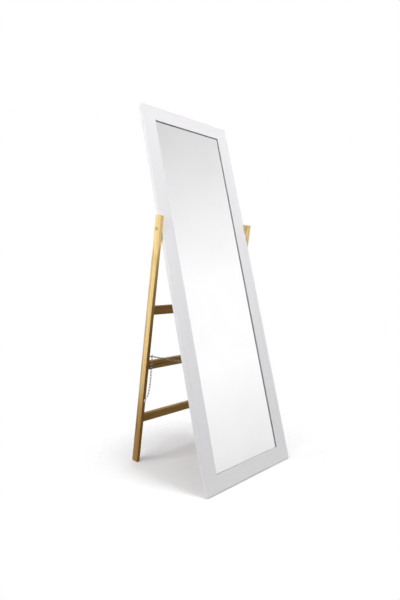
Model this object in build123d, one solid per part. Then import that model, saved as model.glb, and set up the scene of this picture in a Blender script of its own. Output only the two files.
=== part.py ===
from build123d import *
import math
import os

# Leaning floor mirror on a folding ladder stand, in millimetres.
# X runs to the right seen from the front, Y to the back, Z up.
# The origin is on the floor, at the middle of the footprint.

# Mirror panel
panel_width = 460.0
panel_height = 1500.0
panel_thickness = 16.0
rail_width = 60.0
rail_arris = 1.2
lip_thickness = 4.0
lip_overlap = 8.0
glass_thickness = 3.0
glass_side_gap = 1.0
glass_arris = 0.6
lean_deg = 14.6

# Dowels across the mitres
corner_dowel_diameter = 6.0
corner_dowel_length = 28.0
corner_dowel_spots = (26.0, 52.0)
dowel_glue_room = 1.0
dowel_clearance = 0.05

# Clips that hold the backing board
clip_length = 26.0
clip_width = 12.0
clip_thickness = 1.0
clip_corner = 3.0
clip_screw_inset = 6.0
clip_screw_diameter = 3.0
clip_screw_length = 11.0
clip_screw_head = 6.0
clip_screw_head_height = 1.8
clips_per_stile = 4
clip_end_margin = 230.0
screw_clearance = 0.05

# Pivot of the stand
pivot_height = 981.0
pivot_gap = 2.0
pivot_play = 0.2
shoulder_diameter = 8.0
bolt_diameter = 6.0
bolt_length = 13.0
bolt_head_diameter = 12.0
bolt_head_height = 2.4
bolt_head_round = 0.8
bolt_socket_across = 4.0
bolt_socket_depth = 1.6
insert_diameter = 10.0
insert_length = 14.0
washer_diameter = 14.0
washer_thickness = 0.8
washer_clearance = 0.2
spacer_diameter = 20.0
running_clearance = 0.05

# Ladder stand
leg_width = 14.0
leg_depth = 35.0
leg_arris = 1.5
leg_top = 50.0
leg_angle_deg = 11.1
rung_words = ("upper", "middle", "lower")
rung_height = 35.0
rung_thickness = 15.0
rung_back_inset = 1.0
rung_first = 321.5
rung_spacing = 230.0
rung_dowel_diameter = 6.0
rung_dowel_length = 24.0
rung_dowel_spacing = 18.0
rung_dowel_in_leg = 10.0

# Stay chain
chain_inset = 16.0
chain_wire = 1.8
link_inner_width = 3.4
link_pitch = 12.0
link_play = 0.3
eye_drop = 506.0
eye_wire = 2.4
eye_ring_radius = 4.5
eye_neck = 2.0
eye_embed = 10.0
hook_drop = 512.0
hook_wire = 2.8
hook_embed = 10.0
hook_reach = 6.0
hook_lip = 6.5
hook_bend = 3.4

# Spare end of the chain, from the hook to its screw on the left leg
spare_links = 15
spare_sag = 10.0
spare_edge_inset = 3.0
spare_standoff = 4.6
spare_search_steps = 60
spare_screw_diameter = 3.0
spare_screw_embed = 12.0
spare_screw_head = 7.0
spare_screw_head_height = 2.4

lean = math.radians(lean_deg)
leg_angle = math.radians(leg_angle_deg)
half_panel = panel_width / 2
leg_inner = half_panel + pivot_gap
leg_outer = leg_inner + leg_width
wall_depth = rail_width - lip_overlap
backing_thickness = panel_thickness - lip_thickness - glass_thickness
chain_x = -(half_panel - chain_inset)

# The panel stands on its rounded rear arris, the legs on their level feet.
arris_rise = rail_arris * (math.cos(lean) + math.sin(lean) - 1)
panel_lift = panel_thickness * math.sin(lean) - arris_rise
pivot_y = pivot_height * math.sin(lean) + panel_thickness / 2 * math.cos(lean)
pivot_z = panel_lift + pivot_height * math.cos(lean) - panel_thickness / 2 * math.sin(lean)
foot_back = pivot_y + pivot_z * math.tan(leg_angle) + leg_depth / 2 / math.cos(leg_angle)
middle_y = (arris_rise + foot_back) / 2

panel_place = Pos(0, -middle_y, panel_lift) * Rot(-lean_deg, 0, 0)
stand_place = Pos(0, pivot_y - middle_y, pivot_z) * Rot(leg_angle_deg, 0, 0)
leg_front_normal = Vector(0, -math.cos(leg_angle), -math.sin(leg_angle))


def rod(start, direction, diameter, length):
    """Round bar from a point along a direction."""
    plane = Plane(origin=start, z_dir=direction)
    return plane * Cylinder(diameter / 2, length, align=(Align.CENTER, Align.CENTER, Align.MIN))


def placed(place, pieces):
    """One piece, or several loose ones kept together as one node, at their place on the mirror."""
    if isinstance(pieces, list):
        return Compound([(place * piece).solid() for piece in pieces])
    return place * pieces


def corner_dowel_places():
    """Middle point and direction of each dowel, square to its mitre."""
    places = []
    for side in (-1, 1):
        for end in (-1, 1):
            for spot in corner_dowel_spots:
                inset = spot / math.sqrt(2)
                x = side * (half_panel - inset)
                z = panel_height / 2 + end * (panel_height / 2 - inset)
                places.append((Vector(x, panel_thickness / 2, z), Vector(side, 0, -end).normalized()))
    return places


def corner_dowels(extra_diameter=0.0, extra_length=0.0):
    """The dowels, or with the extras the holes that take them."""
    length = corner_dowel_length + 2 * extra_length
    diameter = corner_dowel_diameter + extra_diameter
    places = corner_dowel_places()
    return [rod(middle - axis * (length / 2), axis, diameter, length) for middle, axis in places]


def clip_places():
    """Middle of each clip on the rebate wall, and the way to the outside of the panel."""
    wall_x = half_panel - wall_depth
    step = (panel_height - 2 * clip_end_margin) / (clips_per_stile - 1)
    places = []
    for side in (-1, 1):
        for index in range(clips_per_stile):
            middle = Vector(side * wall_x, panel_thickness, clip_end_margin + index * step)
            places.append((middle, Vector(side, 0, 0)))
    places.append((Vector(0, panel_thickness, wall_depth), Vector(0, 0, -1)))
    places.append((Vector(0, panel_thickness, panel_height - wall_depth), Vector(0, 0, 1)))
    return places


def clip_screw_spot(middle, outward):
    """Point on the back of the panel under a clip's screw."""
    return middle + outward * clip_screw_inset


def backing_clip(middle, outward):
    plane = Plane(origin=middle, x_dir=outward, z_dir=(0, 1, 0))
    plate = extrude(plane * RectangleRounded(clip_length, clip_width, clip_corner), clip_thickness)
    hole = clip_screw_diameter + 2 * screw_clearance
    return plate - rod(clip_screw_spot(middle, outward), (0, 1, 0), hole, clip_thickness)


def clip_screw(middle, outward):
    seat = clip_screw_spot(middle, outward) + Vector(0, clip_thickness, 0)
    head = rod(seat, (0, 1, 0), clip_screw_head, clip_screw_head_height)
    head = fillet(head.edges().sort_by(Axis.Y)[-1], clip_screw_head_height / 2)
    return head + rod(seat, (0, -1, 0), clip_screw_diameter, clip_screw_length)


def clip_screw_holes():
    diameter = clip_screw_diameter + 2 * screw_clearance
    depth = clip_screw_length - clip_thickness + dowel_glue_room
    return [rod(clip_screw_spot(*place), (0, -1, 0), diameter, depth) for place in clip_places()]


def member_profile():
    """Rebated section: X from the outer edge inwards, Y from the face to the back."""
    outline = Polyline(
        (0, 0),
        (rail_width, 0),
        (rail_width, lip_thickness),
        (wall_depth, lip_thickness),
        (wall_depth, panel_thickness),
        (0, panel_thickness),
        close=True,
    )
    section = make_face(outline)
    shown = [v for v in section.vertices() if v.X < wall_depth / 2 or v.Y < lip_thickness / 2]
    return fillet(shown, rail_arris)


def mitred_member(length):
    """Frame member along Z, its outer edge on X = 0, mitred at both ends."""
    bar = extrude(member_profile(), length)
    far = length - rail_width
    trapezoid = Polyline((0, 0), (rail_width, rail_width), (rail_width, far), (0, length), close=True)
    plane = Plane(origin=(0, panel_thickness, 0), x_dir=(1, 0, 0), z_dir=(0, -1, 0))
    return bar & extrude(plane * make_face(trapezoid), panel_thickness)


def drilled(member):
    """A member with the holes for the dowels and the clip screws."""
    for hole in corner_dowels(2 * dowel_clearance, dowel_glue_room) + clip_screw_holes():
        member = member - hole
    return member


def stile(side):
    member = Pos(-half_panel, 0, 0) * mitred_member(panel_height)
    if side > 0:
        member = mirror(member, Plane.YZ)
    edge = Vector(side * half_panel, panel_thickness / 2, pivot_height)
    hole = insert_diameter + 2 * dowel_clearance
    return drilled(member) - rod(edge, (-side, 0, 0), hole, insert_length + dowel_glue_room)


def left_stile():
    back = Vector(chain_x, panel_thickness, pivot_height - eye_drop)
    return stile(-1) - rod(back, (0, -1, 0), eye_wire + 2 * screw_clearance, eye_embed + dowel_glue_room)


def bottom_rail():
    member = Rot(0, 90, 0) * mitred_member(panel_width)
    return drilled(mirror(Pos(-half_panel, 0, 0) * member, Plane.XY))


def top_rail():
    member = Rot(0, 90, 0) * mitred_member(panel_width)
    return drilled(Pos(-half_panel, 0, panel_height) * member)


def infill(thickness, front):
    """Sheet that lies in the rebate, its face at a depth behind the panel's face."""
    width = panel_width - 2 * (wall_depth + glass_side_gap)
    height = panel_height - 2 * (wall_depth + glass_side_gap)
    return Pos(0, front + thickness / 2, panel_height / 2) * Box(width, thickness, height)


def mirror_glass():
    pane = infill(glass_thickness, lip_thickness)
    return chamfer(pane.faces().sort_by(Axis.Y)[0].edges(), glass_arris)


def backing_board():
    return infill(backing_thickness, lip_thickness + glass_thickness)


def pivot_rod(side, start, diameter, length):
    """Round bar on the pivot axis, outwards from a distance off the middle of the panel."""
    origin = Vector(side * start, panel_thickness / 2, pivot_height)
    return rod(origin, (side, 0, 0), diameter, length)


def pivot_insert(side):
    start = half_panel - insert_length
    body = pivot_rod(side, start, insert_diameter, insert_length)
    return body - pivot_rod(side, start, bolt_diameter + 2 * running_clearance, insert_length)


def pivot_bolt(side):
    head_seat = leg_outer + pivot_play + washer_thickness
    head = pivot_rod(side, head_seat, bolt_head_diameter, bolt_head_height)
    head = fillet(head.edges().sort_by(Axis.X)[0 if side < 0 else -1], bolt_head_round)
    socket_seat = Vector(side * (head_seat + bolt_head_height), panel_thickness / 2, pivot_height)
    socket_plane = Plane(origin=socket_seat, z_dir=(-side, 0, 0))
    socket = socket_plane * RegularPolygon(bolt_socket_across / 2, 6, major_radius=False)
    head = head - extrude(socket, bolt_socket_depth)
    shoulder = pivot_rod(side, half_panel, shoulder_diameter, head_seat - half_panel)
    return head + shoulder + pivot_rod(side, half_panel - bolt_length, bolt_diameter, bolt_length)


def pivot_ring(side, start, diameter, thickness):
    bore = shoulder_diameter + 2 * washer_clearance
    return pivot_rod(side, start, diameter, thickness) - pivot_rod(side, start, bore, thickness)


def bolt_washer(side):
    return pivot_ring(side, leg_outer + pivot_play, washer_diameter, washer_thickness)


def pivot_spacer(side):
    return pivot_ring(side, half_panel, spacer_diameter, pivot_gap - pivot_play)


def chain_eye():
    shank_start = Vector(chain_x, panel_thickness - eye_embed, pivot_height - eye_drop)
    shank = rod(shank_start, (0, 1, 0), eye_wire, eye_embed + eye_neck)
    ring_y = panel_thickness + eye_neck + eye_ring_radius
    ring = Pos(chain_x, ring_y, pivot_height - eye_drop) * Torus(eye_ring_radius, eye_wire / 2)
    return shank + ring


def rung_dowel_places(drop):
    """Start point and direction of the dowels at both ends of a rung, from inside the leg."""
    depth = leg_depth / 2 - rung_back_inset - rung_thickness / 2
    start_x = leg_inner + rung_dowel_in_leg
    places = []
    for side in (-1, 1):
        for offset in (-rung_dowel_spacing / 2, rung_dowel_spacing / 2):
            places.append((Vector(side * start_x, depth, -drop + offset), Vector(-side, 0, 0)))
    return places


def rung_dowels(drop):
    places = rung_dowel_places(drop)
    return [rod(start, axis, rung_dowel_diameter, rung_dowel_length) for start, axis in places]


def rung_dowel_holes(drop):
    diameter = rung_dowel_diameter + 2 * dowel_clearance
    length = rung_dowel_length + 2 * dowel_glue_room
    places = rung_dowel_places(drop)
    return [rod(start - axis * dowel_glue_room, axis, diameter, length) for start, axis in places]


def rung(drop):
    depth = leg_depth / 2 - rung_back_inset - rung_thickness / 2
    plane = Plane(origin=(-leg_inner, depth, -drop), x_dir=(0, 1, 0), z_dir=(1, 0, 0))
    bar = extrude(plane * RectangleRounded(rung_thickness, rung_height, leg_arris), 2 * leg_inner)
    for hole in rung_dowel_holes(drop):
        bar = bar - hole
    return bar


def leg(side):
    """Leg of the stand about the pivot, cut level at the floor."""
    length = leg_top + pivot_z / math.cos(leg_angle) + leg_depth
    middle_x = side * (leg_inner + leg_width / 2)
    bar = extrude(Pos(middle_x, 0, leg_top) * RectangleRounded(leg_width, leg_depth, leg_arris), -length)
    bore = shoulder_diameter + 2 * running_clearance
    bar = bar - rod(Vector(side * leg_inner, 0, 0), (side, 0, 0), bore, leg_width)
    for drop in rung_drops:
        for hole in rung_dowel_holes(drop):
            bar = bar - hole
    return split(stand_place * bar, bisect_by=Plane.XY, keep=Keep.TOP)


def chain_hook():
    """Bent wire hook, driven into the inner face of the left leg."""
    start = Vector(-leg_inner - hook_embed, 0, -hook_drop)
    corner = Vector(chain_x + hook_reach, 0, -hook_drop)
    path = FilletPolyline(start, corner, corner + Vector(0, 0, hook_lip), radius=hook_bend)
    return sweep(Plane(origin=start, z_dir=(1, 0, 0)) * Circle(hook_wire / 2), path)


def chain_link(inner_length):
    """Long link about the origin: its length along X, its width along Y."""
    run = inner_length - link_inner_width
    bend_radius = (link_inner_width + chain_wire) / 2
    section = Plane.YZ.offset(-run / 2) * Pos(bend_radius, 0) * Circle(chain_wire / 2)
    side = extrude(section, run)
    bend_section = Plane.YZ.offset(run / 2) * Pos(-bend_radius, 0) * Circle(chain_wire / 2)
    bend = revolve(bend_section, Axis((run / 2, 0, 0), (0, 0, 1)), 180)
    half_turn = Rot(0, 0, 180)
    return side + bend + half_turn * side + half_turn * bend


def link_between(link, start, end, width_way):
    """A link laid from one contact point to the next, its width along a given way."""
    along = (end - start).normalized()
    plane = Plane(origin=(start + end) * 0.5, x_dir=along, z_dir=along.cross(width_way))
    return plane.location * link


rung_drops = [rung_first + index * rung_spacing for index in range(len(rung_words))]

# Contact points of the links between the eye and the hook. Odd links stand upright, even ones lie flat.
eye_depth = panel_thickness + eye_neck + 2 * eye_ring_radius
eye_point = (panel_place * Pos(chain_x, eye_depth, pivot_height - eye_drop)).position
hook_point = (stand_place * Pos(chain_x, 0, -hook_drop)).position
stay_reach = (hook_point - eye_point).length + eye_wire / 2 + hook_wire / 2
stay_links = 2 * round((stay_reach / link_pitch - 1) / 2) + 1
stay_pitch = stay_reach / stay_links
frame_run_links = 2 * (stay_links // 4)
stay_way = (hook_point - eye_point).normalized()
stay_down = Vector(0, stay_way.Z, -stay_way.Y)
stay_start = eye_point - stay_way * (eye_wire / 2)
stay_points = [stay_start + stay_way * (stay_pitch * index) for index in range(stay_links + 1)]


def stay_run(link, first, last):
    """Links from the first index up to the last, both counted from the eye."""
    links = []
    for index in range(first, last):
        width_way = stay_down if index % 2 == 0 else Vector(1, 0, 0)
        links.append(link_between(link, stay_points[index], stay_points[index + 1], width_way))
    return links


def spare_drop_point(steepness, index):
    """Run and drop of a hanging chain after a number of links."""
    now = math.asinh(math.sinh(steepness) - index * stay_pitch / spare_sag)
    return spare_sag * (steepness - now), spare_sag * (math.cosh(steepness) - math.cosh(now))


def spare_route():
    """Contact points of the spare links, which hang from the hooked link and swing in to the leg."""
    clear = (stay_points[-1] - stay_points[-2]).length - chain_wire - hook_wire
    top = stay_points[-2] + stay_way * (chain_wire + clear / 2) + stay_down * (link_inner_width / 2)
    hanging = spare_links - 1
    x_move = -(leg_inner + spare_edge_inset) - top.X
    top_depth = (top - hook_point).dot(-leg_front_normal)

    def y_move(drop):
        """How far back the leg's face lies at a drop."""
        depth_left = -leg_depth / 2 - spare_standoff - top_depth
        return (depth_left + drop * math.sin(leg_angle)) / math.cos(leg_angle)

    slack = hanging * stay_pitch / spare_sag
    low = math.asinh(slack / 2)
    high = 2 * math.asinh(slack)
    for _ in range(spare_search_steps):
        steepness = (low + high) / 2
        run, drop = spare_drop_point(steepness, hanging)
        if run > math.hypot(x_move, y_move(drop)):
            low = steepness
        else:
            high = steepness
    run, drop = spare_drop_point(steepness, hanging)
    level_way = Vector(x_move, y_move(drop), 0).normalized()
    points = []
    for index in range(spare_links):
        run, drop = spare_drop_point(steepness, index)
        points.append(top + level_way * run - Vector(0, 0, drop))
    along = points[-1] - points[-2]
    along = (along - leg_front_normal * along.dot(leg_front_normal)).normalized()
    points.append(points[-1] + along * stay_pitch)
    return points


spare_points = spare_route()
spare_end_way = (spare_points[-1] - spare_points[-2]).normalized()
spare_screw_point = spare_points[-1] - spare_end_way * (spare_screw_diameter / 2)


def spare_chain(link):
    """The link on the hook and the links that hang from it."""
    links = stay_run(link, stay_links - 1, stay_links)
    for index in range(spare_links):
        start, end = spare_points[index], spare_points[index + 1]
        flat_way = Vector(1, 0, 0)
        if index == spare_links - 1:
            flat_way = leg_front_normal.cross(end - start)
        along = (end - start).normalized()
        flat_way = (flat_way - along * flat_way.dot(along)).normalized()
        width_way = flat_way if index % 2 == 0 else along.cross(flat_way)
        links.append(link_between(link, start, end, width_way))
    return links


def spare_screw():
    """Round-headed screw in the leg's front face, standing proud to take the last link."""
    seat = spare_screw_point - leg_front_normal * spare_standoff
    head_gap = chain_wire / 2 + link_play
    length = spare_screw_embed + spare_standoff + head_gap
    shank = rod(seat - leg_front_normal * spare_screw_embed, leg_front_normal, spare_screw_diameter, length)
    head_seat = spare_screw_point + leg_front_normal * head_gap
    head = rod(head_seat, leg_front_normal, spare_screw_head, spare_screw_head_height)
    return shank + fillet(head.edges().sort_by(Axis.Y)[0], spare_screw_head_height / 2)


def left_leg():
    """Left leg with the holes for the hook and the spare chain's screw."""
    hook_start = (stand_place * Pos(-leg_inner, 0, -hook_drop)).position
    hook_hole = rod(hook_start, (-1, 0, 0), hook_wire + 2 * screw_clearance, hook_embed + dowel_glue_room)
    screw_start = spare_screw_point - leg_front_normal * spare_standoff
    diameter = spare_screw_diameter + 2 * screw_clearance
    screw_hole = rod(screw_start, -leg_front_normal, diameter, spare_screw_embed + dowel_glue_room)
    return leg(-1) - hook_hole - screw_hole


def panel_nodes():
    nodes = {
        "left_stile": left_stile(),
        "right_stile": stile(1),
        "top_rail": top_rail(),
        "bottom_rail": bottom_rail(),
        "corner_dowels": corner_dowels(),
        "mirror_glass": mirror_glass(),
        "backing_board": backing_board(),
        "backing_clips": [backing_clip(*place) for place in clip_places()],
        "clip_screws": [clip_screw(*place) for place in clip_places()],
        "chain_eye": chain_eye(),
    }
    for word, side in (("left", -1), ("right", 1)):
        nodes[word + "_pivot_insert"] = pivot_insert(side)
        nodes[word + "_pivot_bolt"] = pivot_bolt(side)
        nodes[word + "_bolt_washer"] = bolt_washer(side)
        nodes[word + "_pivot_spacer"] = pivot_spacer(side)
    return {name: placed(panel_place, pieces) for name, pieces in nodes.items()}


def stand_nodes():
    nodes = {"chain_hook": chain_hook()}
    for word, drop in zip(rung_words, rung_drops):
        nodes[word + "_rung"] = rung(drop)
        nodes[word + "_rung_dowels"] = rung_dowels(drop)
    nodes = {name: placed(stand_place, pieces) for name, pieces in nodes.items()}
    nodes["left_leg"] = left_leg()
    nodes["right_leg"] = leg(1)
    return nodes


def chain_nodes():
    link = chain_link(stay_pitch + link_play)
    nodes = {
        "chain_frame_run": stay_run(link, 0, frame_run_links),
        "chain_mid_link": stay_run(link, frame_run_links, frame_run_links + 1),
        "chain_stand_run": stay_run(link, frame_run_links + 1, stay_links - 1),
        "spare_chain": spare_chain(link),
        "spare_chain_screw": spare_screw(),
    }
    return {name: placed(Location(), pieces) for name, pieces in nodes.items()}


os.makedirs("parts", exist_ok=True)
for name, shape in {**panel_nodes(), **stand_nodes(), **chain_nodes()}.items():
    export_step(shape, "parts/" + name + ".step")
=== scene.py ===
import math

import bmesh
import bpy
from mathutils import Euler, Matrix, Vector


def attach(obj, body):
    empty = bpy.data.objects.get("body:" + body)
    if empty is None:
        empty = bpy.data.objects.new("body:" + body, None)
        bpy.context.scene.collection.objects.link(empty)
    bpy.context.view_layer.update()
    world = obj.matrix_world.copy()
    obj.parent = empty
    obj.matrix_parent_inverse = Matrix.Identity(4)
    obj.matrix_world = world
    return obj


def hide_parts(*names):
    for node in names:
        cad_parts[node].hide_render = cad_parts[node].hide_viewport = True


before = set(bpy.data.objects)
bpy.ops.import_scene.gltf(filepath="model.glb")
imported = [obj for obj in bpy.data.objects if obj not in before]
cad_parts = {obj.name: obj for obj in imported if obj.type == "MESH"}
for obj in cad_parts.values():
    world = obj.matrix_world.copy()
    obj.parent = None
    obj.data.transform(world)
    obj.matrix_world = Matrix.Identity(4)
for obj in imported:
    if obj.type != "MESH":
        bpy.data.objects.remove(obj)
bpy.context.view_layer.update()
scene = bpy.context.scene
scene.view_settings.view_transform = "Standard"
print("frame loaded:", len(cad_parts), "nodes")

panelLean = math.radians(14.6)  # the mirror leans back by this
legLean = math.radians(11.1)  # the stand's legs splay back by this
quarterTurn = math.radians(90)
panelBack = Vector((0, math.cos(panelLean), -math.sin(panelLean)))  # out of the back of the panel
legFront = Vector((0, -math.cos(legLean), -math.sin(legLean)))  # out of the front of a leg
alongPanel = (panelLean, 0, 0)  # Z of the pattern runs up the panel
alongLeg = (-legLean, 0, 0)  # Z of the pattern runs up the leg
alongX = (0, quarterTurn, 0)  # Z of the pattern runs from side to side


# small helpers for node trees

def addNode(tree, kind, settings=None, **values):
    node = tree.nodes.new(kind)
    for name, value in (settings or {}).items():
        setattr(node, name, value)
    for name, value in values.items():
        plug(tree, value, node.inputs[name.replace("_", " ")])
    return node


def plug(tree, value, socket):
    if isinstance(value, bpy.types.NodeSocket):
        tree.links.new(value, socket)
    elif isinstance(value, bpy.types.Node):
        tree.links.new(value.outputs[0], socket)
    else:
        socket.default_value = value


def calc(tree, operation, *values, clamp=False):
    node = addNode(tree, "ShaderNodeMath", {"operation": operation, "use_clamp": clamp})
    for value, socket in zip(values, node.inputs):
        plug(tree, value, socket)
    return node.outputs[0]


def vectorCalc(tree, operation, *values):
    node = addNode(tree, "ShaderNodeVectorMath", {"operation": operation})
    for value, socket in zip(values, node.inputs):
        plug(tree, value, socket)
    return node.outputs["Value"] if operation in ("LENGTH", "DOT_PRODUCT") else node.outputs[0]


def blendColor(tree, factor, first, second, mode="MIX"):
    node = addNode(tree, "ShaderNodeMix", {"data_type": "RGBA", "blend_type": mode})
    for index, value in zip((0, 6, 7), (factor, first, second)):  # a Mix node's sockets for colour
        plug(tree, value, node.inputs[index])
    return node.outputs[2]


def spread(tree, value, low, high, lowTo, highTo):
    node = addNode(tree, "ShaderNodeMapRange", {"clamp": True})
    for socket, item in zip(node.inputs, (value, low, high, lowTo, highTo)):
        plug(tree, item, socket)
    return node.outputs[0]


def sway(tree, pattern, amount):
    # a pattern from 0 to 1, made to swing about zero
    return calc(tree, "MULTIPLY", calc(tree, "SUBTRACT", pattern, 0.5), amount)


def newGroup(name, inputs, outputs):
    tree = bpy.data.node_groups.new(name, "ShaderNodeTree")
    for title, kind, value in inputs:
        socket = tree.interface.new_socket(title, in_out="INPUT", socket_type="NodeSocket" + kind)
        if value is not None:
            socket.default_value = value
    for title, kind in outputs:
        tree.interface.new_socket(title, in_out="OUTPUT", socket_type="NodeSocket" + kind)
    return tree, tree.nodes.new("NodeGroupInput").outputs, tree.nodes.new("NodeGroupOutput").inputs


def useGroup(tree, group, **values):
    return addNode(tree, "ShaderNodeGroup", {"node_tree": group}, **values).outputs


def newMaterial(name, **plain):
    material = bpy.data.materials.new(name)
    material.use_nodes = True
    tree = material.node_tree
    shader = tree.nodes["Principled BSDF"]
    for title, value in plain.items():
        shader.inputs[title.replace("_", " ")].default_value = value
    return material, tree, shader.inputs


def objectPoint(tree, turn=(0, 0, 0), scale=(1, 1, 1)):
    place = tree.nodes.new("ShaderNodeTexCoord").outputs["Object"]
    return addNode(tree, "ShaderNodeMapping", Vector=place, Rotation=turn, Scale=scale).outputs[0]


def noise(tree, point, scale, detail=3.0, roughness=0.5):
    values = {"Vector": point, "Scale": scale, "Detail": detail, "Roughness": roughness}
    return addNode(tree, "ShaderNodeTexNoise", **values).outputs["Fac"]


# effects that several finishes share

def timberGrainGroup():
    # growth rings about a pith line along Z, cut by whatever face the board shows
    trunk = {"rings": (1, 1, 0.035), "fibre": (1, 1, 0.012)}  # patterns change slowly along the trunk
    scale = {"drift": 22.0, "ring width": 170.0, "fibre": 900.0, "cloud": 45.0}
    ring = {"darkens": (0.4, 0.86), "ends": (0.9, 1.0), "edge": 1.6, "faintest": 0.35}
    share = {"fibre": 0.6, "cloud": 0.5}
    tree, given, made = newGroup(
        "timber grain",
        [
            ("Vector", "Vector", None),
            ("Pith", "Vector", (0.03, 0.05, 0)),
            ("Ring Width", "Float", 0.003),
            ("Wander", "Float", 0.006),
            ("Pale", "Color", (1, 1, 1, 1)),
            ("Deep", "Color", (0, 0, 0, 1)),
            ("Figure", "Float", 0.6),
        ],
        [("Color", "Color"), ("Late Wood", "Float"), ("Fibre", "Float")],
    )
    longways = vectorCalc(tree, "MULTIPLY", given["Vector"], trunk["rings"])
    drift = addNode(tree, "ShaderNodeTexNoise", Vector=longways, Scale=scale["drift"], Detail=2.0)
    drift = vectorCalc(tree, "SUBTRACT", drift.outputs["Color"], (0.5, 0.5, 0.5))
    drift = addNode(
        tree, "ShaderNodeVectorMath", {"operation": "SCALE"}, Vector=drift, Scale=given["Wander"]
    )
    across = vectorCalc(tree, "SUBTRACT", given["Vector"], given["Pith"])
    across = vectorCalc(tree, "ADD", across, drift)
    across = vectorCalc(tree, "MULTIPLY", across, (1, 1, 0))
    count = calc(tree, "DIVIDE", vectorCalc(tree, "LENGTH", across), given["Ring Width"])
    # no two rings have the same width or the same strength
    count = calc(tree, "ADD", count, noise(tree, longways, scale["ring width"], 2.0))
    year = calc(tree, "FLOOR", count)
    chance = addNode(tree, "ShaderNodeTexWhiteNoise", {"noise_dimensions": "1D"}, W=year).outputs["Value"]
    strength = spread(tree, chance, 0.0, 1.0, ring["faintest"], 1.0)
    season = calc(tree, "FRACT", count)
    rise = spread(tree, season, *ring["darkens"], 0.0, 1.0)
    fall = spread(tree, season, *ring["ends"], 1.0, 0.0)
    late = calc(tree, "MULTIPLY", calc(tree, "POWER", rise, ring["edge"]), fall)
    late = calc(tree, "MULTIPLY", late, strength)
    fineWay = vectorCalc(tree, "MULTIPLY", given["Vector"], trunk["fibre"])
    fibre = noise(tree, fineWay, scale["fibre"], 3.0, 0.65)
    cloud = noise(tree, longways, scale["cloud"], 2.0)
    amount = calc(tree, "MULTIPLY", late, given["Figure"])
    amount = calc(tree, "ADD", amount, sway(tree, fibre, share["fibre"]))
    amount = calc(tree, "ADD", amount, sway(tree, cloud, share["cloud"]), clamp=True)
    plug(tree, blendColor(tree, amount, given["Pale"], given["Deep"]), made["Color"])
    plug(tree, late, made["Late Wood"])
    plug(tree, fibre, made["Fibre"])
    return tree


def easedEdgeGroup():
    # 1 along outer edges, 0 on the flats
    tree, given, made = newGroup(
        "eased edge", [("Reach", "Float", 0.001), ("Gain", "Float", 6.0)], [("Edge", "Float")]
    )
    rounded = addNode(tree, "ShaderNodeBevel", {"samples": 6}, Radius=given["Reach"]).outputs[0]
    facing = tree.nodes.new("ShaderNodeNewGeometry").outputs["Normal"]
    off = calc(tree, "SUBTRACT", 1.0, vectorCalc(tree, "DOT_PRODUCT", rounded, facing))
    plug(tree, calc(tree, "MULTIPLY", off, given["Gain"], clamp=True), made["Edge"])
    return tree


def settledDustGroup():
    # thin uneven dust on what faces up
    lie = {"slope": (0.55, 1.0), "scale": 60.0, "patchy": (0.35, 0.75), "thinnest": 0.25}
    tree, given, made = newGroup(
        "settled dust", [("Vector", "Vector", None), ("Amount", "Float", 0.3)], [("Dust", "Float")]
    )
    facing = tree.nodes.new("ShaderNodeNewGeometry").outputs["Normal"]
    upward = addNode(tree, "ShaderNodeSeparateXYZ", Vector=facing).outputs["Z"]
    upward = spread(tree, upward, *lie["slope"], 0.0, 1.0)
    patch = noise(tree, given["Vector"], lie["scale"], 5.0, 0.65)
    patch = spread(tree, patch, *lie["patchy"], lie["thinnest"], 1.0)
    dust = calc(tree, "MULTIPLY", calc(tree, "MULTIPLY", upward, patch), given["Amount"])
    plug(tree, dust, made["Dust"])
    return tree


timberGrain = timberGrainGroup()
easedEdge = easedEdgeGroup()
settledDust = settledDustGroup()
middling = (0.3, 0.7)  # most of a noise pattern lies between these
print("shared effects ready")


# finishes

def wornAndDusty(tree, color, point, look):
    edge = useGroup(tree, easedEdge, Reach=0.0012, Gain=5.0)["Edge"]
    color = blendColor(tree, calc(tree, "MULTIPLY", edge, look["worn"]), color, look["edge"])
    dust = useGroup(tree, settledDust, Vector=point, Amount=look["dusty"])["Dust"]
    return blendColor(tree, dust, color, look["dust"])


def relief(tree, shader, height, strength, depth):
    bump = addNode(tree, "ShaderNodeBump", Strength=strength, Distance=depth, Height=height)
    plug(tree, bump, shader["Normal"])


def whiteLacquer(name, turn):
    # sprayed over close-grained board, with the grain just telegraphing through
    look = {
        "paint": (0.80, 0.788, 0.81, 1),
        "thin": (0.62, 0.605, 0.63, 1),
        "edge": (0.86, 0.855, 0.87, 1),
        "worn": 0.5,
        "dust": (0.66, 0.64, 0.61, 1),
        "dusty": 0.12,
        "cloud": 7.0,
        "cloudy": (0.0, 0.35),
        "rough": (0.36, 0.5),
        "orange peel": 420.0,
        "peel share": 0.6,
        "fibre share": 0.4,
    }
    board = {"Pith": (0.09, 0.12, 0), "Ring_Width": 0.005, "Wander": 0.03, "Figure": 0.22}
    material, tree, shader = newMaterial(name, IOR=1.5)
    along = objectPoint(tree, turn)
    grain = useGroup(tree, timberGrain, Vector=along, Pale=look["paint"], Deep=look["thin"], **board)
    cloud = noise(tree, along, look["cloud"], 2.0)
    color = blendColor(tree, spread(tree, cloud, 0.3, 0.8, *look["cloudy"]), grain["Color"], look["paint"])
    plug(tree, wornAndDusty(tree, color, along, look), shader["Base Color"])
    plug(tree, spread(tree, cloud, 0.2, 0.8, *look["rough"]), shader["Roughness"])
    peel = noise(tree, along, look["orange peel"], 2.0)
    peel = calc(tree, "MULTIPLY", peel, look["peel share"])
    height = calc(tree, "ADD", calc(tree, "MULTIPLY", grain["Fibre"], look["fibre share"]), peel)
    relief(tree, shader, height, strength=0.1, depth=0.0002)
    return material


def stickBox(node, turn):
    # low and high corner of a stick, in the turned space of its grain
    way = Euler(turn).to_matrix()
    points = [way @ vert.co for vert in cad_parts[node].data.vertices]
    return [Vector([pick(point[axis] for point in points) for axis in range(3)]) for pick in (min, max)]


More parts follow.
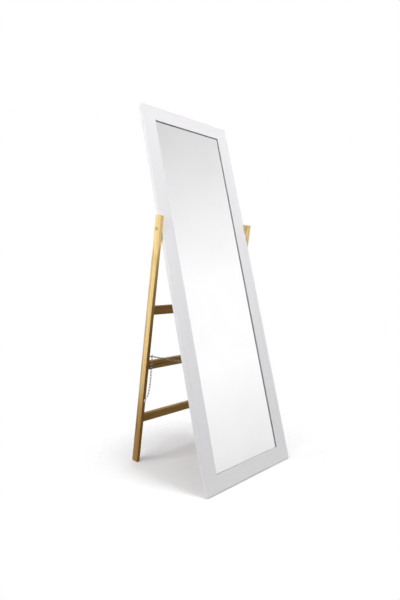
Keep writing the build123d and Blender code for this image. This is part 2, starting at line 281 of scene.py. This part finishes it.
def oiledPine(node, turn, pith, tone, footShade=0.0, shadedFrontDepth=None):
    # sapwood tone at the top; painted shade darkens it to honey and brown towards the foot, and a leg's
    # front face carries painted shade where the panel shades it
    look = {
        # the colour that the painted shade multiplies in
        "brown": (0.33, 0.19, 0.065, 1),
        "edge": (0.80, 0.62, 0.36, 1),
        "worn": 0.25,
        "dust": (0.55, 0.50, 0.44, 1),
        "dusty": 0.1,
        "rough": (0.5, 0.68),
        "shaded foot": (0.15, 0.48),  # heights over the floor
        # how dark the painted shade on a leg's front face gets, and the heights over which it fades out
        "paintedShade": 0.8,
        "heart top": (0.5, 0.85),
        "ring relief": 0.05,
    }
    rings = {"Ring_Width": 0.0034, "Wander": 0.014, "Figure": 1.0}
    knots = {
        "color": (0.16, 0.075, 0.025, 1),
        "scale": 9.0,
        "stretch": (1, 1, 0.55),
        "core": (0.035, 0.075),
        "halo": (0.05, 0.2),
        "halo share": 0.45,
    }
    waver = {"scale": 9.0, "height": 0.12, "depth": 0.02}  # the painted shade ends in a wavy line
    low, high = stickBox(node, turn)
    pithLine = ((low.x + high.x) / 2 + pith[0], (low.y + high.y) / 2 + pith[1], 0)
    name = "pine, " + node.replace("_", " ")
    material, tree, shader = newMaterial(name, IOR=1.45, Specular_IOR_Level=0.12)
    along = objectPoint(tree, turn)
    grain = useGroup(
        tree, timberGrain, Vector=along, Pith=pithLine, Pale=tone["pale"], Deep=tone["ring"], **rings
    )
    lengthened = vectorCalc(tree, "MULTIPLY", along, knots["stretch"])
    cell = addNode(
        tree, "ShaderNodeTexVoronoi", {"feature": "F1"},
        Vector=lengthened, Scale=knots["scale"], Randomness=1.0,
    ).outputs["Distance"]
    core = spread(tree, cell, *knots["core"], 1.0, 0.0)
    halo = spread(tree, cell, *knots["halo"], knots["halo share"], 0.0)
    color = blendColor(tree, halo, grain["Color"], tone["ring"])
    color = blendColor(tree, core, color, knots["color"])
    rise = addNode(tree, "ShaderNodeSeparateXYZ", Vector=objectPoint(tree)).outputs["Z"]
    wave = sway(tree, noise(tree, along, waver["scale"], 2.0), waver["height"])
    # painted shade: darker towards the foot, and along a leg's front face, where the panel shades it
    paintedShade = spread(tree, calc(tree, "ADD", rise, wave), *look["shaded foot"], footShade, 0.0)
    if shadedFrontDepth:
        starts, ends = (low.y + depth for depth in shadedFrontDepth)
        behind = addNode(tree, "ShaderNodeSeparateXYZ", Vector=along).outputs["Y"]
        behind = calc(tree, "ADD", behind, calc(tree, "MULTIPLY", wave, waver["depth"]))
        front = spread(tree, behind, starts, ends, look["paintedShade"], 0.0)
        front = calc(tree, "MULTIPLY", front, spread(tree, rise, *look["heart top"], 1.0, 0.0))
        paintedShade = calc(tree, "MAXIMUM", paintedShade, front)
    color = blendColor(tree, paintedShade, color, blendColor(tree, 1.0, color, look["brown"], "MULTIPLY"))
    plug(tree, wornAndDusty(tree, color, along, look), shader["Base Color"])
    plug(tree, spread(tree, grain["Fibre"], *middling, *look["rough"]), shader["Roughness"])
    ridges = calc(tree, "MULTIPLY", grain["Late Wood"], look["ring relief"])
    relief(tree, shader, calc(tree, "ADD", ridges, grain["Fibre"]), strength=0.12, depth=0.0002)
    return material


def plainBeech():
    look = {"Pale": (0.66, 0.47, 0.29, 1), "Deep": (0.50, 0.31, 0.17, 1)}
    rings = {"Ring_Width": 0.0018, "Wander": 0.003, "Figure": 0.4}
    rough = (0.55, 0.7)
    material, tree, shader = newMaterial("plain beech", IOR=1.45)
    along = objectPoint(tree, alongX)
    grain = useGroup(tree, timberGrain, Vector=along, **look, **rings)
    plug(tree, grain["Color"], shader["Base Color"])
    plug(tree, spread(tree, grain["Fibre"], *middling, *rough), shader["Roughness"])
    return material


def brownFibreboard():
    # pressed wood fibre, sanded, with fine flecks
    look = {
        "pale": (0.40, 0.265, 0.155, 1),
        "dark": (0.27, 0.165, 0.09, 1),
        "fleck": (0.46, 0.33, 0.21, 1),
        "rough": (0.72, 0.88),
    }
    scale = {"cloud": 9.0, "fibre": 700.0, "fleck": 260.0}
    share = {"cloud": 0.5, "fibre": 0.5, "fleck": 0.45}
    material, tree, shader = newMaterial("brown fibreboard", IOR=1.45, Specular_IOR_Level=0.25)
    flat = objectPoint(tree, alongPanel)
    cloud = noise(tree, flat, scale["cloud"], 5.0, 0.6)
    fibre = noise(tree, flat, scale["fibre"], 4.0, 0.65)
    fleck = noise(tree, flat, scale["fleck"], 3.0, 0.6)
    fleck = spread(tree, fleck, 0.64, 0.74, 0.0, share["fleck"])
    shade = spread(tree, fibre, 0.35, 0.7, 0.0, share["fibre"])
    shade = calc(tree, "ADD", spread(tree, cloud, *middling, 0.0, share["cloud"]), shade)
    color = blendColor(tree, shade, look["pale"], look["dark"])
    color = blendColor(tree, fleck, color, look["fleck"])
    plug(tree, color, shader["Base Color"])
    plug(tree, spread(tree, fibre, *middling, *look["rough"]), shader["Roughness"])
    relief(tree, shader, fibre, strength=0.25, depth=0.0003)
    return material


def platedSteel(name, bright, dull, rough, hangShadeColor=None):
    scale = {"cloud": 160.0, "fine": 2600.0}
    share = {"cloud": 0.8, "edge": 0.4}
    duller = 0.16  # how much rougher the plate gets in patches
    material, tree, shader = newMaterial(name, Metallic=1.0)
    spot = objectPoint(tree)
    cloud = noise(tree, spot, scale["cloud"], 4.0, 0.6)
    edge = useGroup(tree, easedEdge, Reach=0.0004, Gain=4.0)["Edge"]
    color = blendColor(tree, spread(tree, cloud, 0.3, 0.75, 0.0, share["cloud"]), bright, dull)
    color = blendColor(tree, calc(tree, "MULTIPLY", edge, share["edge"]), color, bright)
    if hangShadeColor:  # chain links carry their own mask of where they hang on each other; there painted shade darkens them almost to black
        hangShade = addNode(tree, "ShaderNodeAttribute", {"attribute_name": "hangShade"}).outputs["Fac"]
        color = blendColor(tree, hangShade, color, hangShadeColor)
    plug(tree, color, shader["Base Color"])
    plug(tree, spread(tree, cloud, *middling, rough, rough + duller), shader["Roughness"])
    relief(tree, shader, noise(tree, spot, scale["fine"], 1.0), strength=0.12, depth=0.0001)
    return material


def turnedBrass():
    look = {"bright": (0.72, 0.50, 0.19, 1), "dull": (0.50, 0.33, 0.12, 1), "rough": (0.22, 0.36)}
    rings = {"scale": 3200.0, "stretch": (1, 0.02, 0.02)}  # tool marks round the X axis
    material, tree, shader = newMaterial("turned brass", Metallic=1.0)
    line = noise(tree, objectPoint(tree, scale=rings["stretch"]), rings["scale"], 2.0)
    plug(tree, blendColor(tree, line, look["bright"], look["dull"]), shader["Base Color"])
    plug(tree, spread(tree, line, *middling, *look["rough"]), shader["Roughness"])
    return material


def naturalNylon():
    look = {"pale": (0.78, 0.76, 0.69, 1), "warm": (0.68, 0.64, 0.54, 1), "rough": (0.4, 0.52)}
    material, tree, shader = newMaterial("natural nylon", IOR=1.53)
    cloud = noise(tree, objectPoint(tree), 220.0)
    plug(tree, blendColor(tree, cloud, look["pale"], look["warm"]), shader["Base Color"])
    plug(tree, spread(tree, cloud, *middling, *look["rough"]), shader["Roughness"])
    return material


def floatGlass():
    look = {"tint": (0.984, 0.99, 0.986, 1), "smear": (0.972, 0.98, 0.975, 1), "smeared": 0.6}
    material, tree, shader = newMaterial("float glass", IOR=1.5, Transmission_Weight=1.0, Roughness=0.0)
    smear = noise(tree, objectPoint(tree, alongPanel, (1, 1, 0.5)), 6.0, 4.0)
    smear = spread(tree, smear, 0.4, 0.8, 0.0, look["smeared"])
    plug(tree, blendColor(tree, smear, look["tint"], look["smear"]), shader["Base Color"])
    return material


def silverBack():
    look = {"silver": (0.95, 0.955, 0.95, 1), "aged": (0.90, 0.905, 0.90, 1), "bloom": 0.7}
    material, tree, shader = newMaterial("silver back", Metallic=1.0, Roughness=0.0)
    bloom = noise(tree, objectPoint(tree, alongPanel), 4.0)
    bloom = spread(tree, bloom, 0.45, 0.85, 0.0, look["bloom"])
    plug(tree, blendColor(tree, bloom, look["silver"], look["aged"]), shader["Base Color"])
    return material


stileWhite = whiteLacquer("white lacquer, stiles", alongPanel)
railWhite = whiteLacquer("white lacquer, rails", alongX)
zinc = platedSteel("zinc plate", bright=(0.62, 0.63, 0.65, 1), dull=(0.42, 0.43, 0.45, 1), rough=0.24)
yellowZinc = platedSteel(
    "yellow zinc plate", bright=(0.82, 0.69, 0.46, 1), dull=(0.62, 0.49, 0.30, 1), rough=0.3
)
nickel = platedSteel(
    "nickel wire", bright=(0.86, 0.86, 0.87, 1), dull=(0.52, 0.52, 0.54, 1), rough=0.16,
    # painted shade, nearly black, where the links hang on each other
    hangShadeColor=(0.06, 0.06, 0.075, 1),
)
glass = floatGlass()
silver = silverBack()
beech = plainBeech()
brass = turnedBrass()
nylon = naturalNylon()
finishes = {
    "left_stile": stileWhite,
    "right_stile": stileWhite,
    "top_rail": railWhite,
    "bottom_rail": railWhite,
    "backing_board": brownFibreboard(),
    "backing_clips": zinc,
    "chain_eye": zinc,
    "chain_hook": zinc,
}
sapwood = {"pale": (0.90, 0.685, 0.315, 1), "ring": (0.52, 0.285, 0.085, 1)}
# a darker, redder copy of the pine for the rungs: painted shade, as the rungs stand in the panel's shade
shadedRungPine = {"pale": (0.60, 0.385, 0.135, 1), "ring": (0.34, 0.16, 0.04, 1)}
legShade = {"footShade": 0.82, "shadedFrontDepth": (0.0005, 0.0032)}  # painted shade: how dark towards the foot, and the depths behind the leg's front that the front shade reaches
legPiths = {"left_leg": (-0.037, 0.0052), "right_leg": (0.031, -0.0078)}  # from the stick's middle
rungPiths = {
    "upper_rung": (0.0027, 0.0321),
    "middle_rung": (-0.0056, 0.0378),
    "lower_rung": (0.0041, 0.0335),
}
for name, pith in legPiths.items():
    finishes[name] = oiledPine(name, alongLeg, pith, sapwood, **legShade)
for name, pith in rungPiths.items():
    finishes[name] = oiledPine(name, alongX, pith, shadedRungPine)
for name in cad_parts:
    if name.endswith("dowels"):
        finishes[name] = beech
    elif name.endswith(("pivot_bolt", "bolt_washer")):
        finishes[name] = yellowZinc
    elif name.endswith("pivot_insert"):
        finishes[name] = brass
    elif name.endswith("pivot_spacer"):
        finishes[name] = nylon
for name, material in finishes.items():
    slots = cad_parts[name].data.materials
    slots.clear()
    slots.append(material)
print("finishes on", len(finishes), "nodes")


# pieces that take their place from a node's own mesh

def weldedCopy(node):
    work = bmesh.new()
    work.from_mesh(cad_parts[node].data)
    bmesh.ops.remove_doubles(work, verts=work.verts, dist=1e-6)
    return work


def looseGroups(node):
    # the separate solids of a node, each as a list of points
    work = weldedCopy(node)
    seen = set()
    groups = []
    for start in work.verts:
        if start in seen:
            continue
        seen.add(start)
        edge = [start]
        points = []
        while edge:
            vert = edge.pop()
            points.append(vert.co.copy())
            for link in vert.link_edges:
                other = link.other_vert(vert)
                if other not in seen:
                    seen.add(other)
                    edge.append(other)
        groups.append(points)
    work.free()
    return groups


def addPiece(name, mesh, body, slot, *nodes):
    piece = bpy.data.objects.new(name, mesh)
    scene.collection.objects.link(piece)
    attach(piece, body)
    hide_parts(*nodes)


def mirrorPane():
    # clear glass whose back face alone is silvered
    backing = 0.00015  # paint between the silver and the board
    flatEnough = 0.01  # faces that turn less than this become one
    squareOn = 0.99  # cosine, for a face that looks straight back
    work = weldedCopy("mirror_glass")
    bmesh.ops.dissolve_limit(work, angle_limit=flatEnough, verts=work.verts, edges=work.edges)
    work.normal_update()
    silvered = [face for face in work.faces if face.normal.dot(panelBack) > squareOn]
    for face in silvered:
        face.material_index = 1
    rim = list({vert for face in silvered for vert in face.verts})
    bmesh.ops.translate(work, vec=-panelBack * backing, verts=rim)
    mesh = bpy.data.meshes.new("mirror_pane")
    work.to_mesh(mesh)
    work.free()
    mesh.materials.append(glass)
    mesh.materials.append(silver)
    addPiece("mirror_pane", mesh, "mirror_panel", "mirror", "mirror_glass")


mirrorPane()
print("mirror pane silvered")


# geometry node trees

def newShapeTree(name, *sizes):
    tree = bpy.data.node_groups.new(name, "GeometryNodeTree")
    inputs = [("Geometry", "Geometry"), *((size, "Float") for size in sizes), ("Material", "Material")]
    for title, kind in inputs:
        tree.interface.new_socket(title, in_out="INPUT", socket_type="NodeSocket" + kind)
    tree.interface.new_socket("Geometry", in_out="OUTPUT", socket_type="NodeSocketGeometry")
    return tree, tree.nodes.new("NodeGroupInput").outputs, tree.nodes.new("NodeGroupOutput").inputs


def half(tree, value):
    return calc(tree, "MULTIPLY", value, 0.5)


def upBy(tree, height):
    return addNode(tree, "ShaderNodeCombineXYZ", Z=height)


def placeOnPoints(tree, given, made, instance):
    # each point carries its own turn
    crispAbove = math.radians(35)
    turn = addNode(tree, "GeometryNodeInputNamedAttribute", {"data_type": "FLOAT_VECTOR"}, Name="turn")
    rotation = addNode(tree, "FunctionNodeEulerToRotation", Euler=turn.outputs["Attribute"])
    placed = addNode(
        tree, "GeometryNodeInstanceOnPoints", Points=given["Geometry"], Instance=instance, Rotation=rotation
    )
    real = addNode(tree, "GeometryNodeRealizeInstances", Geometry=placed.outputs["Instances"])
    smooth = addNode(tree, "GeometryNodeSetShadeSmooth", Geometry=real)
    bend = addNode(tree, "GeometryNodeInputMeshEdgeAngle").outputs["Unsigned Angle"]
    sharp = calc(tree, "GREATER_THAN", bend, crispAbove)
    crisp = addNode(
        tree, "GeometryNodeSetShadeSmooth", {"domain": "EDGE"},
        Geometry=smooth, Selection=sharp, Shade_Smooth=False,
    )
    finish = addNode(tree, "GeometryNodeSetMaterial", Geometry=crisp, Material=given["Material"])
    plug(tree, finish, made["Geometry"])


def chainLinkTree():
    steps = {"corner": 12, "link": 56, "wire": 12}
    rounding = 0.499  # of the width, so that the ends are round
    weldReach = 0.8  # in wire thicknesses
    hangs = (0.3, 0.42)  # of the length, where painted shade falls as a link hangs on the next
    tree, given, made = newShapeTree("chain links", "Wire", "Length", "Width", "Weld")
    oblong = addNode(
        tree, "GeometryNodeCurvePrimitiveQuadrilateral", Width=given["Length"], Height=given["Width"]
    )
    bend = calc(tree, "MULTIPLY", given["Width"], rounding)
    rounded = addNode(
        tree, "GeometryNodeFilletCurve", {"mode": "POLY"}, Curve=oblong, Radius=bend, Count=steps["corner"]
    )
    even = addNode(tree, "GeometryNodeResampleCurve", Curve=rounded, Count=steps["link"])
    spot = addNode(tree, "GeometryNodeInputPosition")
    parts = addNode(tree, "ShaderNodeSeparateXYZ", Vector=spot).outputs
    away = calc(tree, "ABSOLUTE", parts["X"])
    near = calc(tree, "DIVIDE", away, given["Wire"])  # the weld sits in the middle of one side
    swell = calc(tree, "MULTIPLY", spread(tree, near, 0.0, weldReach, 1.0, 0.0), given["Weld"])
    swell = calc(tree, "MULTIPLY", swell, calc(tree, "GREATER_THAN", parts["Y"], 0.0))
    thickness = calc(tree, "ADD", swell, 1.0)
    wire = addNode(
        tree, "GeometryNodeCurvePrimitiveCircle", Resolution=steps["wire"], Radius=half(tree, given["Wire"])
    )
    ring = addNode(tree, "GeometryNodeCurveToMesh", Curve=even, Profile_Curve=wire, Scale=thickness)
    # painted shade mask: where a link hangs on the next
    hangShade = spread(tree, calc(tree, "DIVIDE", away, given["Length"]), *hangs, 0.0, 1.0)
    marked = addNode(tree, "GeometryNodeStoreNamedAttribute", Geometry=ring, Name="hangShade", Value=hangShade)
    placeOnPoints(tree, given, made, marked)
    return tree


def crossScrewTree():
    steps = {"dome": 14, "head": 32, "shank": 20}
    dome = {"fullness": 3.2, "shoulder": 0.42, "tip": 0.05}
    sunk = 0.3  # of the dome, where the shank ends inside the head
    slotReach = 0.56  # of the head
    tree, given, made = newShapeTree(
        "cross-head screws", "Head", "Dome", "Shank", "Length", "Slot", "Depth"
    )
    line = addNode(tree, "GeometryNodeCurvePrimitiveLine", End=upBy(tree, given["Dome"]))
    line = addNode(tree, "GeometryNodeResampleCurve", Curve=line, Count=steps["dome"])
    share = addNode(tree, "GeometryNodeSplineParameter").outputs["Factor"]
    inward = calc(tree, "SUBTRACT", 1.0, calc(tree, "POWER", share, dome["fullness"]))
    girth = calc(tree, "MAXIMUM", calc(tree, "POWER", inward, dome["shoulder"]), dome["tip"])
    circle = addNode(
        tree, "GeometryNodeCurvePrimitiveCircle", Resolution=steps["head"], Radius=half(tree, given["Head"])
    )
    head = addNode(
        tree, "GeometryNodeCurveToMesh", Curve=line, Profile_Curve=circle, Scale=girth, Fill_Caps=True
    )
    shank = addNode(
        tree, "GeometryNodeMeshCylinder", Vertices=steps["shank"],
        Radius=half(tree, given["Shank"]), Depth=given["Length"],
    ).outputs["Mesh"]
    drop = calc(tree, "MULTIPLY", given["Length"], -0.5)
    drop = calc(tree, "ADD", drop, calc(tree, "MULTIPLY", given["Dome"], sunk))
    shank = addNode(tree, "GeometryNodeTransform", Geometry=shank, Translation=upBy(tree, drop))
    whole = addNode(tree, "GeometryNodeMeshBoolean", {"operation": "UNION"})
    for solid in (head, shank):
        plug(tree, solid, whole.inputs["Mesh 2"])
    cut = addNode(tree, "GeometryNodeMeshBoolean", {"operation": "DIFFERENCE"})
    plug(tree, whole, cut.inputs["Mesh 1"])
    top = upBy(tree, given["Dome"])
    reach = calc(tree, "MULTIPLY", given["Head"], slotReach)
    height = calc(tree, "MULTIPLY", given["Depth"], 2.0)
    size = addNode(tree, "ShaderNodeCombineXYZ", X=given["Slot"], Y=reach, Z=height)
    for angle in (0.0, quarterTurn):
        blade = addNode(tree, "GeometryNodeMeshCube", Size=size).outputs["Mesh"]
        blade = addNode(
            tree, "GeometryNodeTransform", Geometry=blade, Translation=top, Rotation=(0, 0, angle)
        )
        plug(tree, blade, cut.inputs["Mesh 2"])
    placeOnPoints(tree, given, made, cut)
    return tree


def dressPoints(name, places, tree, values):
    # a point mesh with its turns, dressed by a tree and read back as one plain mesh
    mesh = bpy.data.meshes.new(name + "_points")
    mesh.from_pydata([place.translation for place in places], [], [])
    turns = mesh.attributes.new("turn", "FLOAT_VECTOR", "POINT")
    for item, place in zip(turns.data, places):
        item.vector = place.to_euler()
    carrier = bpy.data.objects.new(name + "_points", mesh)
    scene.collection.objects.link(carrier)
    modifier = carrier.modifiers.new("shape", "NODES")
    modifier.node_group = tree
    for item in tree.interface.items_tree:
        if item.in_out == "INPUT" and item.name in values:
            modifier[item.identifier] = values[item.name]
    bpy.context.view_layer.update()
    shaped = carrier.evaluated_get(bpy.context.evaluated_depsgraph_get())
    made = bpy.data.meshes.new_from_object(shaped)
    made.name = name
    carrier.modifiers.remove(modifier)
    bpy.data.objects.remove(carrier)
    return made


def middleOf(points):
    return sum(points, Vector()) / len(points)


def mainWay(matrix, start):
    # the direction that a matrix of spreads stretches most
    rounds = 80  # enough to settle
    for _ in range(rounds):
        start = (matrix @ start).normalized()
    return start


def addOuter(matrix, way, weight):
    for row in range(3):
        for column in range(3):
            matrix[row][column] += weight * way[row] * way[column]


def axesOf(points):
    # middle and main directions of a cloud of points, longest first
    guess = Vector((1, 0.37, 0.61)).normalized()  # square to none of the links
    middle = middleOf(points)
    spreads = Matrix.Diagonal((0, 0, 0))
    for point in points:
        addOuter(spreads, point - middle, 1.0)
    longest = mainWay(spreads, guess)
    addOuter(spreads, longest, -longest.dot(spreads @ longest))
    second = mainWay(spreads, longest.orthogonal().normalized())
    return middle, longest, second


def frameOf(middle, along, wide):
    flat = along.cross(wide).normalized()
    wide = flat.cross(along)
    return Matrix.Translation(middle) @ Matrix((along, wide, flat)).transposed().to_4x4()


def reachOf(points, place):
    # size of a cloud of points along the axes of its place
    local = [place.inverted() @ point for point in points]
    return [max(p[axis] for p in local) - min(p[axis] for p in local) for axis in range(3)]


def chains():
    link = {"Weld": 0.22, "Material": nickel}
    runs = {
        "frame_chain_links": ("frame_chain", "chain_frame_run"),
        "middle_chain_link": ("middle_link", "chain_mid_link"),
        "stand_chain_links": ("stand_chain", "chain_stand_run"),
        "spare_chain_links": ("stand", "spare_chain"),
    }
    tree = chainLinkTree()
    for name, (body, node) in runs.items():
        groups = looseGroups(node)
        places = [frameOf(*axesOf(points)) for points in groups]
        long, wide, thin = reachOf(groups[0], places[0])
        link.update({"Wire": thin, "Length": long - thin, "Width": wide - thin})  # along the wire's middle
        addPiece(name, dressPoints(name, places, tree, link), body, "chain_steel", node)
        print(name, len(places), "links")


def screws():
    slot = {"width": 0.16, "depth": 0.55}  # shares of the head's width and of the dome
    kinds = {
        "clip_screw_set": ("mirror_panel", "clip_screws", panelBack, {"Dome": 0.0018, "Shank": 0.003}),
        "spare_chain_pin": ("stand", "spare_chain_screw", legFront, {"Dome": 0.0024, "Shank": 0.003}),
    }
    tree = crossScrewTree()
    for name, (body, node, outward, size) in kinds.items():
        dome = size["Dome"]
        side = outward.orthogonal().normalized()
        groups = looseGroups(node)
        places = []
        for points in groups:
            middle = middleOf(points)
            top = max(point.dot(outward) for point in points)
            seat = middle + outward * (top - dome - middle.dot(outward))
            places.append(frameOf(seat, side, outward.cross(side)))
        wide, _, long = reachOf(groups[0], places[0])
        size.update({"Head": wide, "Length": long - dome, "Material": zinc})
        size.update({"Slot": wide * slot["width"], "Depth": dome * slot["depth"]})
        addPiece(name, dressPoints(name, places, tree, size), body, "zinc_steel", node)
        print(name, len(places), "screws")


chains()
screws()


# floor, light and camera

def paleFloor():
    # it takes the object's shadow and fades into the white around it
    floor = {"reach": 1.2, "clear": 0.25, "fade": 0.58, "lift": 0.05}
    tone = {"seen": (0.94, 0.94, 0.95, 1), "bounced": (0.36, 0.355, 0.3, 1)}
    work = bmesh.new()
    bmesh.ops.create_circle(work, cap_ends=True, segments=96, radius=floor["reach"])
    mesh = bpy.data.meshes.new("floor")
    work.to_mesh(mesh)
    work.free()
    material, tree, shader = newMaterial("pale floor", Roughness=0.9, Emission_Color=(1, 1, 1, 1))
    rays = tree.nodes.new("ShaderNodeLightPath").outputs
    seen = calc(tree, "MAXIMUM", rays["Is Camera Ray"], rays["Is Glossy Ray"])
    seen = calc(tree, "MAXIMUM", seen, rays["Is Transmission Ray"])
    plug(tree, blendColor(tree, seen, tone["bounced"], tone["seen"]), shader["Base Color"])
    plug(tree, calc(tree, "MULTIPLY", seen, floor["lift"]), shader["Emission Strength"])
    away = vectorCalc(tree, "LENGTH", objectPoint(tree))
    fade = spread(tree, away, floor["clear"], floor["fade"], 1.0, 0.0)
    fade.node.interpolation_type = "SMOOTHSTEP"
    plug(tree, fade, shader["Alpha"])
    mesh.materials.append(material)
    plate = bpy.data.objects.new("floor", mesh)
    scene.collection.objects.link(plate)


def studioWorld():
    # white to the eye; what shiny things see dims towards the ceiling, the floor and one side
    room = {"ambient": 0.25, "white wall": (0.71, -0.71, 0), "turn": (-0.3, 0.5), "dim": 0.35}
    levels = {-0.12: 0.76, -0.03: 0.9, 0.16: 1.06, 0.36: 1.06, 0.52: 0.9, 0.72: 0.68}  # by height
    white = (1, 1, 1, 1)
    black = (0, 0, 0, 1)
    low = min(levels)
    high = max(levels)
    world = bpy.data.worlds.new("studio")
    scene.world = world
    world.use_nodes = True
    tree = world.node_tree
    tree.nodes.clear()
    rays = tree.nodes.new("ShaderNodeLightPath").outputs
    way = tree.nodes.new("ShaderNodeTexCoord").outputs["Generated"]
    lift = addNode(tree, "ShaderNodeSeparateXYZ", Vector=way).outputs["Z"]
    ramp = addNode(tree, "ShaderNodeValToRGB", Fac=spread(tree, lift, low, high, 0.0, 1.0))
    points = ramp.color_ramp.elements
    while len(points) < len(levels):
        points.new(0.5)
    for point, (height, level) in zip(points, levels.items()):
        point.position = (height - low) / (high - low)
        point.color = (level, level, level, 1)
    toWhite = vectorCalc(tree, "DOT_PRODUCT", way, room["white wall"])
    wall = spread(tree, toWhite, *room["turn"], room["dim"], 1.0)
    walls = blendColor(tree, wall, black, ramp.outputs[0])
    color = blendColor(tree, rays["Is Camera Ray"], walls, white)
    shiny = calc(tree, "MAXIMUM", rays["Is Glossy Ray"], rays["Is Transmission Ray"])
    seen = calc(tree, "MAXIMUM", rays["Is Camera Ray"], shiny)
    strength = spread(tree, seen, 0.0, 1.0, room["ambient"], 1.0)
    color = blendColor(tree, seen, white, color)
    light = addNode(tree, "ShaderNodeBackground", Color=color, Strength=strength)
    plug(tree, light, addNode(tree, "ShaderNodeOutputWorld").inputs["Surface"])


def softbox(name, place, aim, side, power, glare=True):
    lamp = bpy.data.lights.new(name, "AREA")
    lamp.size = side
    lamp.energy = power
    holder = bpy.data.objects.new(name, lamp)
    way = (Vector(aim) - Vector(place)).to_track_quat("-Z", "Y")
    holder.matrix_world = Matrix.Translation(place) @ way.to_matrix().to_4x4()
    holder.visible_camera = False
    holder.visible_glossy = glare
    holder.visible_transmission = False  # what the mirror shows comes out through its glass
    scene.collection.objects.link(holder)


def shotCamera():
    shot = {
        "place": Vector((-1.1477, -1.2727, 0.7738)),
        "azimuth": math.radians(-44.307),
        "down": math.radians(2.898),
        "roll": math.radians(-0.307),
        "focal": 413.0,  # in pixels of the picture
        "middle": (227.02, 296.17),  # where the lens axis meets the picture
        "picture": (400, 600),
    }
    camera = bpy.data.cameras.new("shot")
    width, height = shot["picture"]
    camera.sensor_fit = "VERTICAL"
    camera.sensor_height = 36.0
    camera.lens = shot["focal"] * camera.sensor_height / height
    camera.shift_x = (width / 2 - shot["middle"][0]) / height
    camera.shift_y = (shot["middle"][1] - height / 2) / height
    back = Vector((
        math.sin(shot["azimuth"]) * math.cos(shot["down"]),
        -math.cos(shot["azimuth"]) * math.cos(shot["down"]),
        math.sin(shot["down"]),
    ))
    right = Vector((math.cos(shot["azimuth"]), math.sin(shot["azimuth"]), 0))
    up = back.cross(right)
    turned = right * math.cos(shot["roll"]) + up * math.sin(shot["roll"])
    up = back.cross(turned)
    holder = bpy.data.objects.new("shot", camera)
    axes = Matrix((turned, up, back)).transposed().to_4x4()
    holder.matrix_world = Matrix.Translation(shot["place"]) @ axes
    scene.collection.objects.link(holder)
    scene.camera = holder


paleFloor()
studioWorld()
softbox("left softbox", place=(-2.0, 0.2, 1.4), aim=(-0.24, 0.05, 0.9), side=2.0, power=40.0)
softbox(
    "front softbox", place=(0.7, -2.8, 2.75), aim=(0.0, 0.0, 0.75), side=1.4, power=78.0,
    glare=False,  # it would lie on the glass
)
softbox("overhead softbox", place=(0.3, 0.3, 3.4), aim=(0.0, 0.0, 0.7), side=1.9, power=32.0)
shotCamera()
print("stage set")
